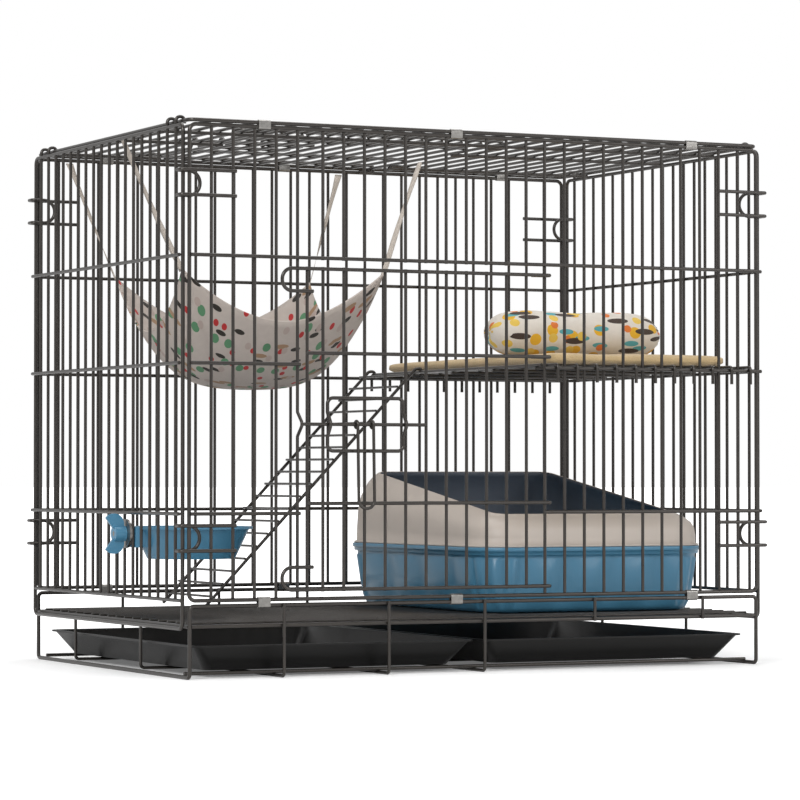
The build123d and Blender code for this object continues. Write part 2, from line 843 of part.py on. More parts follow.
def feeder_wing_nut():
    """The wing nut: a round boss on the stud, with two wings that widen outward."""
    seat = clamp_face + washer_thick + nut_gap
    with BuildPart() as nut:
        with BuildSketch(bowl_plane.offset(seat)):
            Circle(nut_radius)
        extrude(amount=nut_length)
        wing_plane = Plane(origin=bowl_plane.from_local_coords((wing_thick / 2, 0, seat)), x_dir=(0, 0, 1),
                           z_dir=-bowl_plane.x_dir)
        with BuildSketch(wing_plane):
            with BuildLine():
                for side in (-1, 1):
                    root = (side * wing_root, -wing_foot)
                    tip = (side * wing_tip, -wing_rise - nut_length)
                    Line((0, -wing_foot), root)
                    ThreePointArc(root, (side * wing_reach, -wing_rise), tip)
                    Line(tip, (0, -wing_notch))
            make_face()
        extrude(amount=wing_thick)
        with BuildSketch(bowl_plane.offset(seat)):
            Circle(stud_d / 2 + running_gap)
        extrude(amount=nut_length, mode=Mode.SUBTRACT)
    return [nut.part.solid()]


# The litter box stands on the floor grid
pan_low = floor_rail + 3 * floor_wire_d / 2 - weld_bite + free_gap
pan_centre = (from_left(litter_x), from_front(litter_y), pan_low)
hood_low = pan_low + pan_height + free_gap


def litter_pan():
    """The pan of the litter box."""
    return [basin(pan_centre, pan_height, (pan_width, pan_length), pan_taper, pan_corner, pan_wall, pan_lip,
                  pan_lip_thick)]


def litter_hood():
    """The hood: a collar that draws in to a large opening, lower at the front."""
    x, y, low = pan_centre
    rise = (hood_rise_front + hood_rise_back) / 2
    across = pan_width + 2 * pan_lip
    along = pan_length + 2 * pan_lip
    tilt = math.atan2(hood_rise_back - hood_rise_front, along - 2 * hood_draw)
    shoulder = (hood_shoulder_draw, hood_shoulder_share * rise, tilt / 2)
    outlines = ((0, 0, 0), shoulder, (hood_draw, rise, tilt))
    with BuildPart() as hood:
        for shrink, mode in ((0, Mode.ADD), (hood_wall, Mode.SUBTRACT)):
            for inset, height, lean in outlines:
                up = (0, -math.sin(lean), math.cos(lean))
                level = Plane(origin=(x, y, hood_low + height), x_dir=(1, 0, 0), z_dir=up)
                trim = 2 * (inset + shrink)
                corner = pan_corner + pan_lip - inset / 2 - shrink
                with BuildSketch(level):
                    RectangleRounded(across - trim, (along - trim) / math.cos(lean), corner)
            loft(mode=mode)
    return [hood.part.solid()]


roof_v0 = from_front(roof_door_shift)
nodes = {
    "front_panel": front_wall(),
    "front_corner_clasps": clasps(front),
    "back_panel": back_wall(),
    "back_corner_clasps": clasps(back),
    "left_side_panel": side_wall(left),
    "right_side_panel": side_wall(right),
    "roof_panel": roof_panel(),
    "base_frame": base_frame(),
    "floor_grid": floor_grid(),
    "roof_bands": bands(panel_top, roof_z),
    "base_bands": bands(base_top, panel_bottom),
    "shelf": shelf(),
    "shelf_mat": mat(),
    "shelf_bolster": bolster(),
    "hammock_cloth": hammock_cloth(),
    "hammock_straps": hammock_straps(),
    "feeder_bowl": feeder_bowl(),
    "feeder_clamp": feeder_clamp(),
    "feeder_wing_nut": feeder_wing_nut(),
    "left_tray": tray(-1),
    "right_tray": tray(1),
    "litter_pan": litter_pan(),
    "litter_hood": litter_hood(),
    "ladder": ladder(),
    "front_door": door(front, 0),
    "front_latch_guide": latch_guide(front, 0),
    "front_latch_bolt": latch_bolt(front, 0),
    "front_latch_handle": latch_handle(front, 0),
    "roof_door": door(roof, roof_v0),
    "roof_latch_guide": latch_guide(roof, roof_v0),
    "roof_latch_bolt": latch_bolt(roof, roof_v0),
    "roof_latch_handle": latch_handle(roof, roof_v0),
}

os.makedirs("parts", exist_ok=True)
for name, solids in nodes.items():
    write_node(name, solids)
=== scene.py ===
"""Looks of a folding wire cat cage, built round its packed construction model."""

import json
import logging
import math
from dataclasses import dataclass, field
from enum import Enum

import bmesh
import bpy
from mathutils import Matrix, Vector
from mathutils import noise as smooth_noise


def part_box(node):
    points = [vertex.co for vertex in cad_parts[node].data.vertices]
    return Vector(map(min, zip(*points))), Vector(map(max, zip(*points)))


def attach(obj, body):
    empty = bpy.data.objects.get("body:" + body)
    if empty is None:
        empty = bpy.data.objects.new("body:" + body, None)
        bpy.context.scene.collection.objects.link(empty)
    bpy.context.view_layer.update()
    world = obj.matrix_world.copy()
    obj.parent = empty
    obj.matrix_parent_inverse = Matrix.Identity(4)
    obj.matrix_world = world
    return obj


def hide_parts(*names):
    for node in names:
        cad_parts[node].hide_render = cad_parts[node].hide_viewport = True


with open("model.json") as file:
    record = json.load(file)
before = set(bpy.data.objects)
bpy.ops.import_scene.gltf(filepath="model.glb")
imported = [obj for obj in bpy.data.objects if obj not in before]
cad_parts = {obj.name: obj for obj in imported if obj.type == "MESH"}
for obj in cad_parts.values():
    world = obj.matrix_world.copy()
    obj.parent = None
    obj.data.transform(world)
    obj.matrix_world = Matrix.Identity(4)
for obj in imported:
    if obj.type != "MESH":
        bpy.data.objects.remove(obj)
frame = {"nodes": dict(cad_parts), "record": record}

LOG = logging.getLogger("cat_cage")
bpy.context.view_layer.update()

# The photograph is square, and its lens is written for a 36 mm sensor
LENS_MM = 156.04
SENSOR_MM = 36.0
CAMERA_PLACE = (-1.8693, -3.8841, 0.2331)
CAMERA_TILT = 91.219
CAMERA_YAW = -25.83

Colour = tuple[float, float, float]


class Slot(Enum):
    """The record's material slots."""

    WIRE = "wire"
    BRIGHT = "bright"
    TRAY = "tray"
    BLUE = "blue"
    BEIGE = "beige"
    TAN = "tan"
    PRINT = "print"


class Body(Enum):
    """The bodies that new pieces ride on."""

    CAGE = "cage"
    LITTER_HOOD = "litter_hood"
    WING_NUT = "wing_nut"


def new_group(name: str, inputs: dict[str, float], outputs: dict[str, str]) -> bpy.types.ShaderNodeTree:
    """Makes an empty shader node group.

    Args:
        name: the group's name.
        inputs: name and default of each number that goes in.
        outputs: name and socket type of each value that comes out.

    Returns:
        The node tree, with its group input and output nodes named "in" and "out".
    """
    tree = bpy.data.node_groups.new(name, "ShaderNodeTree")
    for label, value in inputs.items():
        socket = tree.interface.new_socket(label, in_out="INPUT", socket_type="NodeSocketFloat")
        socket.default_value = value
    for label, kind in outputs.items():
        tree.interface.new_socket(label, in_out="OUTPUT", socket_type=kind)
    tree.nodes.new("NodeGroupInput").name = "in"
    tree.nodes.new("NodeGroupOutput").name = "out"
    return tree


def add_noise(tree: bpy.types.NodeTree, scale: float, detail: float = 3.0) -> bpy.types.Node:
    """Adds a noise texture on Object coordinates.

    Args:
        tree: the node tree that it joins.
        scale: the noise's scale.
        detail: the noise's detail.

    Returns:
        The noise node.
    """
    where = tree.nodes.new("ShaderNodeTexCoord")
    node = tree.nodes.new("ShaderNodeTexNoise")
    node.inputs["Scale"].default_value = scale
    node.inputs["Detail"].default_value = detail
    tree.links.new(where.outputs["Object"], node.inputs["Vector"])
    return node


def wear_group() -> bpy.types.ShaderNodeTree:
    """Builds the group that varies a plain finish.

    Returns:
        A group that puts out a slow mask, a fine grain's height and a roughness.
    """
    tree = new_group(
        "surface_wear",
        {"Slow Scale": 9.0, "Grain Scale": 900.0, "Roughness": 0.4, "Roughness Spread": 0.1},
        {"Mask": "NodeSocketFloat", "Height": "NodeSocketFloat", "Roughness": "NodeSocketFloat"},
    )
    nodes, links = tree.nodes, tree.links
    slow = add_noise(tree, 9.0)
    grain = add_noise(tree, 900.0, 2.0)
    links.new(nodes["in"].outputs["Slow Scale"], slow.inputs["Scale"])
    links.new(nodes["in"].outputs["Grain Scale"], grain.inputs["Scale"])
    centre = nodes.new("ShaderNodeMath")
    centre.operation = "SUBTRACT"
    centre.inputs[1].default_value = 0.5
    links.new(slow.outputs["Fac"], centre.inputs[0])
    spread = nodes.new("ShaderNodeMath")
    spread.operation = "MULTIPLY_ADD"
    links.new(centre.outputs[0], spread.inputs[0])
    links.new(nodes["in"].outputs["Roughness Spread"], spread.inputs[1])
    links.new(nodes["in"].outputs["Roughness"], spread.inputs[2])
    links.new(slow.outputs["Fac"], nodes["out"].inputs["Mask"])
    links.new(grain.outputs["Fac"], nodes["out"].inputs["Height"])
    links.new(spread.outputs[0], nodes["out"].inputs["Roughness"])
    return tree


def weave_group() -> bpy.types.ShaderNodeTree:
    """Builds the group for woven cloth.

    Returns:
        A group that puts out the height of crossing threads and a mask of their shade.
    """
    tree = new_group(
        "plain_weave", {"Thread Scale": 900.0}, {"Height": "NodeSocketFloat", "Shade": "NodeSocketFloat"}
    )
    nodes, links = tree.nodes, tree.links
    where = nodes.new("ShaderNodeTexCoord")
    split = nodes.new("ShaderNodeSeparateXYZ")
    links.new(where.outputs["UV"], split.inputs[0])
    waves = []
    for axis in ("X", "Y"):
        turn = nodes.new("ShaderNodeMath")
        turn.operation = "MULTIPLY"
        links.new(split.outputs[axis], turn.inputs[0])
        links.new(nodes["in"].outputs["Thread Scale"], turn.inputs[1])
        sine = nodes.new("ShaderNodeMath")
        sine.operation = "SINE"
        links.new(turn.outputs[0], sine.inputs[0])
        waves.append(sine)
    product = nodes.new("ShaderNodeMath")
    product.operation = "MULTIPLY_ADD"
    product.inputs[2].default_value = 0.5
    links.new(waves[0].outputs[0], product.inputs[0])
    links.new(waves[1].outputs[0], product.inputs[1])
    fibres = add_noise(tree, 160.0, 4.0)
    links.new(product.outputs[0], nodes["out"].inputs["Height"])
    links.new(fibres.outputs["Fac"], nodes["out"].inputs["Shade"])
    return tree


@dataclass(frozen=True)
class Finish:
    """A plain finish with slow variation and a fine grain."""

    name: str
    colour: Colour
    dark: Colour
    roughness: float
    metallic: float = 0.0
    coat: float = 0.0
    spread: float = 0.12
    slow_scale: float = 9.0
    grain_scale: float = 900.0
    grain_depth: float = 0.0001
    specular: float = 0.5

    def make(self, wear: bpy.types.ShaderNodeTree) -> bpy.types.Material:
        """Builds the material.

        Args:
            wear: the surface wear group.

        Returns:
            The finished material.
        """
        material = bpy.data.materials.new(self.name)
        material.use_nodes = True
        nodes, links = material.node_tree.nodes, material.node_tree.links
        shader = nodes["Principled BSDF"]
        shader.inputs["Metallic"].default_value = self.metallic
        shader.inputs["Coat Weight"].default_value = self.coat
        shader.inputs["Coat Roughness"].default_value = 0.2
        shader.inputs["Specular IOR Level"].default_value = self.specular
        group = nodes.new("ShaderNodeGroup")
        group.node_tree = wear
        group.inputs["Slow Scale"].default_value = self.slow_scale
        group.inputs["Grain Scale"].default_value = self.grain_scale
        group.inputs["Roughness"].default_value = self.roughness
        group.inputs["Roughness Spread"].default_value = self.spread
        mix = nodes.new("ShaderNodeMix")
        mix.data_type = "RGBA"
        mix.inputs["A"].default_value = (*self.dark, 1.0)
        mix.inputs["B"].default_value = (*self.colour, 1.0)
        bump = nodes.new("ShaderNodeBump")
        bump.inputs["Distance"].default_value = self.grain_depth
        links.new(group.outputs["Mask"], mix.inputs["Factor"])
        links.new(mix.outputs["Result"], shader.inputs["Base Color"])
        links.new(group.outputs["Roughness"], shader.inputs["Roughness"])
        links.new(group.outputs["Height"], bump.inputs["Height"])
        links.new(bump.outputs["Normal"], shader.inputs["Normal"])
        return material


@dataclass(frozen=True)
class PrintedCloth:
    """Woven cotton with small plain motifs: dots, leaves and short bars in a few colours."""

    name: str
    ground: Colour
    inks: tuple[Colour, ...]
    cell: float = 36.0
    cover: float = 0.21

    def make(self, weave: bpy.types.ShaderNodeTree) -> bpy.types.Material:
        """Builds the material on the piece's own UV map, which is in metres.

        Args:
            weave: the plain weave group.

        Returns:
            The finished material.
        """
        material = bpy.data.materials.new(self.name)
        material.use_nodes = True
        tree = material.node_tree
        nodes, links = tree.nodes, tree.links
        shader = nodes["Principled BSDF"]
        shader.inputs["Roughness"].default_value = 0.85
        shader.inputs["Specular IOR Level"].default_value = 0.25
        shader.inputs["Sheen Weight"].default_value = 0.15
        group = nodes.new("ShaderNodeGroup")
        group.node_tree = weave
        group.inputs["Thread Scale"].default_value = 5200.0
        base = self.blend(tree, self.ground, tuple(0.86 * c for c in self.ground), group.outputs["Shade"])
        where = nodes.new("ShaderNodeTexCoord")
        for index, ink in enumerate(self.inks):
            mask = self.motif(tree, where.outputs["UV"], index)
            over = nodes.new("ShaderNodeMix")
            over.data_type = "RGBA"
            over.inputs["B"].default_value = (*ink, 1.0)
            links.new(mask, over.inputs["Factor"])
            links.new(base, over.inputs["A"])
            base = over.outputs["Result"]
        bump = nodes.new("ShaderNodeBump")
        bump.inputs["Distance"].default_value = 0.00015
        links.new(group.outputs["Height"], bump.inputs["Height"])
        links.new(bump.outputs["Normal"], shader.inputs["Normal"])
        links.new(base, shader.inputs["Base Color"])
        return material

    def blend(self, tree: bpy.types.NodeTree, first: Colour, second: Colour,
              factor: bpy.types.NodeSocket) -> bpy.types.NodeSocket:
        """Mixes two colours.

        Args:
            tree: the material's node tree.
            first: the colour at factor 0.
            second: the colour at factor 1.
            factor: the socket that gives the factor.

        Returns:
            The mixed colour's socket.
        """
        mix = tree.nodes.new("ShaderNodeMix")
        mix.data_type = "RGBA"
        mix.inputs["A"].default_value = (*first, 1.0)
        mix.inputs["B"].default_value = (*second, 1.0)
        tree.links.new(factor, mix.inputs["Factor"])
        return mix.outputs["Result"]

    def motif(self, tree: bpy.types.NodeTree, uv: bpy.types.NodeSocket, index: int) -> bpy.types.NodeSocket:
        """Scatters one motif in its own turned and shifted cells, as dots, leaves or bars.

        Args:
            tree: the material's node tree.
            uv: the socket of the piece's UV map.
            index: the ink's place in the list.

        Returns:
            The motif's mask.
        """
        nodes, links = tree.nodes, tree.links
        place = nodes.new("ShaderNodeMapping")
        place.inputs["Location"].default_value = (1.7 * index + 0.4, 0.9 * index, 0.0)
        place.inputs["Rotation"].default_value = (0.0, 0.0, 0.9 * index)
        stretch = (1.0, 2.6, 1.0, 3.4)[index % 4]
        place.inputs["Scale"].default_value = (1.0, stretch, 1.0)
        cells = nodes.new("ShaderNodeTexVoronoi")
        cells.voronoi_dimensions = "2D"
        cells.inputs["Scale"].default_value = self.cell / math.sqrt(stretch)
        cells.inputs["Randomness"].default_value = 0.8
        links.new(uv, place.inputs["Vector"])
        links.new(place.outputs["Vector"], cells.inputs["Vector"])
        near = nodes.new("ShaderNodeMath")
        near.operation = "LESS_THAN"
        near.inputs[1].default_value = self.cover / (1.0 + 0.25 * (index % 3))
        links.new(cells.outputs["Distance"], near.inputs[0])
        pick = nodes.new("ShaderNodeSeparateColor")
        links.new(cells.outputs["Color"], pick.inputs["Color"])
        some = nodes.new("ShaderNodeMath")
        some.operation = "GREATER_THAN"
        some.inputs[1].default_value = 0.52
        links.new(pick.outputs[index % 3], some.inputs[0])
        both = nodes.new("ShaderNodeMath")
        both.operation = "MULTIPLY"
        links.new(near.outputs[0], both.inputs[0])
        links.new(some.outputs[0], both.inputs[1])
        return both.outputs[0]


@dataclass(frozen=True)
class Plush:
    """Short-piled plush, with a soft nap."""

    name: str
    colour: Colour

    def make(self) -> bpy.types.Material:
        """Builds the material and returns it."""
        material = bpy.data.materials.new(self.name)
        material.use_nodes = True
        tree = material.node_tree
        nodes, links = tree.nodes, tree.links
        shader = nodes["Principled BSDF"]
        shader.inputs["Roughness"].default_value = 0.95
        shader.inputs["Specular IOR Level"].default_value = 0.1
        shader.inputs["Sheen Weight"].default_value = 0.35
        pile = add_noise(tree, 420.0, 6.0)
        nap = add_noise(tree, 45.0, 3.0)
        mix = nodes.new("ShaderNodeMix")
        mix.data_type = "RGBA"
        mix.inputs["A"].default_value = (*(0.62 * c for c in self.colour), 1.0)
        mix.inputs["B"].default_value = (*(min(1.0, 1.2 * c) for c in self.colour), 1.0)
        blend = nodes.new("ShaderNodeMath")
        blend.operation = "MULTIPLY_ADD"
        blend.inputs[1].default_value = 0.6
        links.new(nap.outputs["Fac"], blend.inputs[0])
        half = nodes.new("ShaderNodeMath")
        half.operation = "MULTIPLY"
        half.inputs[1].default_value = 0.4
        links.new(pile.outputs["Fac"], half.inputs[0])
        links.new(half.outputs[0], blend.inputs[2])
        links.new(blend.outputs[0], mix.inputs["Factor"])
        bump = nodes.new("ShaderNodeBump")
        bump.inputs["Distance"].default_value = 0.0012
        links.new(pile.outputs["Fac"], bump.inputs["Height"])
        links.new(bump.outputs["Normal"], shader.inputs["Normal"])
        links.new(mix.outputs["Result"], shader.inputs["Base Color"])
        return material


class Finishes:
    """Every material of the cage, built once."""

    def __init__(self) -> None:
        """Builds the node groups and the materials."""
        wear = wear_group()
        weave = weave_group()
        self.wire = Finish("gunmetal_coat", (0.055, 0.048, 0.042), (0.035, 0.031, 0.028), 0.30, metallic=0.6,
                           coat=0.3, slow_scale=40.0, grain_scale=1400.0, grain_depth=0.00006).make(wear)
        self.bright = Finish("galvanised_band", (0.40, 0.39, 0.37), (0.20, 0.19, 0.18), 0.34, metallic=1.0,
                             slow_scale=260.0, grain_scale=700.0).make(wear)
        self.tray = Finish("black_tray", (0.009, 0.0085, 0.008), (0.005, 0.005, 0.005), 0.38,
                           grain_scale=1600.0, grain_depth=0.00008, specular=0.3).make(wear)
        self.blue = Finish("blue_plastic", (0.072, 0.235, 0.37), (0.058, 0.195, 0.315), 0.34, coat=0.15,
                           grain_scale=1100.0, grain_depth=0.00005).make(wear)
        self.beige = Finish("beige_plastic", (0.56, 0.495, 0.435), (0.50, 0.44, 0.39), 0.42,
                            grain_scale=1100.0, grain_depth=0.00006).make(wear)
        # The hood's inside faces take this dark grey-blue: painted shade that stands in for the shade inside
        # the hood, not a lining of its own.
        self.slate = Finish("hood_inside_painted_shade", (0.15, 0.165, 0.195), (0.12, 0.135, 0.165), 0.55,
                            grain_scale=1100.0, grain_depth=0.00008).make(wear)
        self.plush = Plush("tan_plush", (0.60, 0.44, 0.235)).make()
        hammock_inks = ((0.10, 0.25, 0.13), (0.03, 0.025, 0.02), (0.45, 0.03, 0.03), (0.35, 0.22, 0.13),
                        (0.45, 0.36, 0.32))
        self.hammock = PrintedCloth("hammock_cotton", (0.56, 0.49, 0.44), hammock_inks).make(weave)
        bolster_inks = ((0.80, 0.45, 0.03), (0.10, 0.38, 0.42), (0.75, 0.20, 0.04), (0.06, 0.04, 0.03),
                        (0.80, 0.55, 0.10))
        self.bolster = PrintedCloth("bolster_cotton", (0.80, 0.74, 0.66), bolster_inks, cell=34.0,
                                    cover=0.27).make(weave)
        self.webbing = Finish("webbing", (0.60, 0.54, 0.48), (0.45, 0.40, 0.35), 0.9, grain_scale=1500.0,
                              grain_depth=0.0004, slow_scale=300.0, specular=0.2).make(wear)


def finished_object(name: str, mesh: bmesh.types.BMesh, materials: list[bpy.types.Material],
                    smooth: bool = True) -> bpy.types.Object:
    """Turns a bmesh into an object at the origin.

    Args:
        name: the piece's name.
        mesh: the mesh, which is freed.
        materials: the material slots, in order.
        smooth: whether its faces are shaded smooth.

    Returns:
        The new object, linked into the scene.
    """
    data = bpy.data.meshes.new(name)
    mesh.to_mesh(data)
    mesh.free()
    for material in materials:
        data.materials.append(material)
    data.polygons.foreach_set("use_smooth", [smooth] * len(data.polygons))
    piece = bpy.data.objects.new(name, data)
    bpy.context.scene.collection.objects.link(piece)
    return piece


def place_piece(piece: bpy.types.Object, body: Body, slot: Slot, *nodes: str) -> None:
    """Lets a piece ride on a body and stand for its CAD nodes, which it hides.

    Args:
        piece: the new piece.
        body: the body that it rides on.
        slot: the record's material slot; not used.
        nodes: the CAD nodes that it stands for.
    """
    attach(piece, body.value)
    if nodes:
        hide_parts(*nodes)
    LOG.info("%s rides on %s", piece.name, body.value)


def node_box(node: str) -> tuple[Vector, Vector]:
    """Returns a CAD node's lowest and highest corners as vectors."""
    low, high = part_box(node)
    return Vector(low), Vector(high)


@dataclass
class Ring:
    """One ring of a moulded shell: its height, how far it is drawn in, its tilt and its material."""

    height: float
    inset: float
    tilt: float = 0.0
    flute: float = 0.0
    material: int = 0


@dataclass
class Outline:
    """A rectangle with round corners, walked round by a step count that is the same for every ring."""

    half_x: float
    half_y: float
    corner: float
    steps: int = 72

    def spot(self, step: int, inset: float) -> Vector:
        """Finds one point of the outline.

        Args:
            step: how many steps from the middle of the first corner's arc.
            inset: how far the outline is drawn in.

        Returns:
            The point, with its height 0.
        """
        quarter, rest = divmod(step, self.steps)
        radius = max(0.004, self.corner - inset)
        reach_x = self.half_x - inset - radius
        reach_y = self.half_y - inset - radius
        signs = ((1, 1), (-1, 1), (-1, -1), (1, -1))
        here = signs[quarter % 4]
        arc_steps = self.steps // 2
        if rest <= arc_steps:
            turn = math.radians(90 * quarter + 90 * rest / arc_steps)
            middle = Vector((here[0] * reach_x, here[1] * reach_y, 0))
            return middle + radius * Vector((math.cos(turn), math.sin(turn), 0))
        after = signs[(quarter + 1) % 4]
        share = (rest - arc_steps) / (self.steps - arc_steps)
        turn = math.radians(90 * (quarter + 1))
        edge = Vector((math.cos(turn), math.sin(turn), 0)) * radius
        start = Vector((here[0] * reach_x, here[1] * reach_y, 0))
        return start.lerp(Vector((after[0] * reach_x, after[1] * reach_y, 0)), share) + edge


def moulded_shell(centre: Vector, outline: Outline, rings: list[Ring], flutes: int = 0) -> bmesh.types.BMesh:
    """Builds a shell of rounded-rectangle rings, each extruded from the one before.

    Args:
        centre: the middle of the outline at height 0.
        outline: the widest outline.
        rings: the rings in order.
        flutes: how many upright flutes run round it.

    Returns:
        The bmesh, open at both ends.
    """
    mesh = bmesh.new()
    count = 4 * outline.steps
    step_of = mesh.verts.layers.int.new("step")
    loop = bmesh.ops.create_circle(mesh, segments=count, radius=outline.half_x)["verts"]
    for index, vert in enumerate(loop):
        vert[step_of] = index
    edges = list(mesh.edges)
    for number, ring in enumerate(rings):
        if number:
            grown = bmesh.ops.extrude_edge_only(mesh, edges=edges)["geom"]
            loop = [item for item in grown if isinstance(item, bmesh.types.BMVert)]
            edges = [item for item in grown if isinstance(item, bmesh.types.BMEdge)]
            for face in (item for item in grown if isinstance(item, bmesh.types.BMFace)):
                face.material_index = ring.material
        for vert in loop:
            step = vert[step_of]
            wave = ring.flute * abs(math.cos(math.pi * flutes * step / count))
            place = outline.spot(step, ring.inset - wave)
            vert.co = centre + place + Vector((0, 0, ring.height + place.y * ring.tilt))
    return mesh


def close_end(mesh: bmesh.types.BMesh, height: float) -> None:
    """Fills the open loop at a height with one face."""
    edges = [e for e in mesh.edges if e.is_boundary and abs(e.verts[0].co.z - height) < 1e-5]
    bmesh.ops.contextual_create(mesh, geom=edges)


@dataclass
class LitterBox:
    """The blue fluted pan and the beige hood that lies on it."""

    corner: float = 0.052
    wall: float = 0.0025
    lip: float = 0.006
    lip_drop: float = 0.0095
    taper: float = 0.010
    flute_depth: float = 0.0032
    flute_count: int = 28
    hood_inset: float = 0.005
    hood_front: float = 0.040
    finishes: Finishes = field(repr=False, default=None)

    def build(self) -> None:
        """Builds both pieces in the places of their CAD nodes."""
        self.pan()
        self.hood()

    @staticmethod
    def outline(node: str, corner: float) -> tuple[Vector, Outline, float]:
        """Returns the foot's middle, the outline and the height of a node's box."""
        low, high = node_box(node)
        centre = Vector(((low.x + high.x) / 2, (low.y + high.y) / 2, low.z))
        return centre, Outline((high.x - low.x) / 2, (high.y - low.y) / 2, corner), high.z - low.z

    def pan(self) -> None:
        """The pan: a foot, fluted leaning sides, a stepped lip and the inside."""
        centre, outline, tall = self.outline("litter_pan", self.corner)
        lip, foot, flute = self.lip, self.lip + self.taper, self.flute_depth
        under = tall - self.lip_drop
        step = tall - 0.55 * self.lip_drop
        inner = lip + self.wall
        rings = [
            Ring(0.0, foot + 0.006), Ring(0.0012, foot + 0.003), Ring(0.005, foot + 0.0008),
            Ring(0.012, foot, flute=flute), Ring(0.4 * tall, lip + 0.6 * self.taper, flute=flute),
            Ring(0.8 * tall, lip + 0.15 * self.taper, flute=flute), Ring(under - 0.004, lip + 0.0005),
            Ring(under, lip), Ring(under, 0.0027), Ring(under + 0.0006, 0.0021), Ring(step, 0.0019),
            Ring(step + 0.0003, 0.0006), Ring(step + 0.0009, 0.0), Ring(tall - 0.0008, 0.0),
            Ring(tall, 0.0009),
            Ring(tall, inner - 0.001), Ring(tall - 0.001, inner),
            Ring(0.02, foot + self.wall - 0.002), Ring(0.008, foot + self.wall + 0.003),
            Ring(0.0035, foot + self.wall + 0.012),
        ]
        mesh = moulded_shell(centre, outline, rings, self.flute_count)
        close_end(mesh, centre.z)
        close_end(mesh, centre.z + rings[-1].height)
        bmesh.ops.recalc_face_normals(mesh, faces=mesh.faces)
        piece = finished_object("litter_pan_moulded", mesh, [self.finishes.blue])
        place_piece(piece, Body.CAGE, Slot.BLUE, "litter_pan")

    def hood(self) -> None:
        """The hood: upright sides, a shoulder that draws in, a rolled rim, and inside faces in a dark
        grey-blue painted shade.
        """
        centre, outline, back = self.outline("litter_hood", self.corner)
        front, edge = self.hood_front, self.hood_inset
        middle = (front + back) / 2
        draw = 0.029
        tilt = (back - front) / (2 * (outline.half_y - edge - draw))
        shape = ((0.25, 0.0005, 0.15), (0.5, 0.002, 0.4), (0.68, 0.006, 0.62), (0.84, 0.014, 0.82),
                 (0.93, 0.021, 0.93))
        rings = [Ring(0.0, edge), Ring(0.0, edge - 0.003), Ring(0.0022, edge - 0.0032), Ring(0.0026, edge)]
        rings += [Ring(rise * middle, edge + shrink, lean * tilt) for rise, shrink, lean in shape]
        rim = ((-0.0022, -0.003), (-0.0006, -0.001), (0.0, 0.0005), (-0.0004, 0.002))
        rings += [Ring(middle + up, edge + draw + inward, tilt) for up, inward in rim]
        # The inside rings take the second material, the dark grey-blue painted shade.
        rings += [Ring(rise * middle - 0.001, edge + shrink + 0.0042, lean * tilt, material=1)
                  for rise, shrink, lean in reversed(shape)]
        rings.append(Ring(0.0, edge + 0.003, material=1))
        mesh = moulded_shell(centre, outline, rings)
        bmesh.ops.bridge_loops(mesh, edges=[e for e in mesh.edges if e.is_boundary])
        bmesh.ops.recalc_face_normals(mesh, faces=mesh.faces)
        piece = finished_object("litter_hood_moulded", mesh, [self.finishes.beige, self.finishes.slate])
        place_piece(piece, Body.LITTER_HOOD, Slot.BEIGE, "litter_hood")


@dataclass
class Padding:
    """A stuffed piece that is blown up by a cloth simulation and then finished."""

    voxel: float = 0.005
    pressure: float = 4.0
    frames: int = 20
    cap: float = 0.008

    def inflate(self, piece: bpy.types.Object) -> None:
        """Remeshes a piece and blows it up, with no point moving further than the cap.

        Args:
            piece: the piece, whose mesh is replaced.
        """
        bpy.context.view_layer.objects.active = piece
        remesh = piece.modifiers.new("remesh", "REMESH")
        remesh.mode = "VOXEL"
        remesh.voxel_size = self.voxel
        self.apply(piece)
        before = [v.co.copy() for v in piece.data.vertices]
        cloth = piece.modifiers.new("cloth", "CLOTH")
        cloth.settings.quality = 6
        cloth.settings.mass = 0.2
        cloth.settings.use_pressure = True
        cloth.settings.uniform_pressure_force = self.pressure
        cloth.settings.effector_weights.gravity = 0.0
        cloth.point_cache.frame_start = 1
        cloth.point_cache.frame_end = self.frames
        for step in range(1, self.frames + 1):
            bpy.context.scene.frame_set(step)
        self.apply(piece)
        bpy.context.scene.frame_set(1)
        for vert, old in zip(piece.data.vertices, before):
            move = vert.co - old
            if move.length > self.cap:
                vert.co = old + move.normalized() * self.cap
        piece.data.polygons.foreach_set("use_smooth", [True] * len(piece.data.polygons))

    @staticmethod
    def apply(piece: bpy.types.Object) -> None:
        """Bakes the piece's modifiers into its mesh."""
        graph = bpy.context.evaluated_depsgraph_get()
        shaped = bpy.data.meshes.new_from_object(piece.evaluated_get(graph))
        piece.modifiers.clear()
        piece.data = shaped


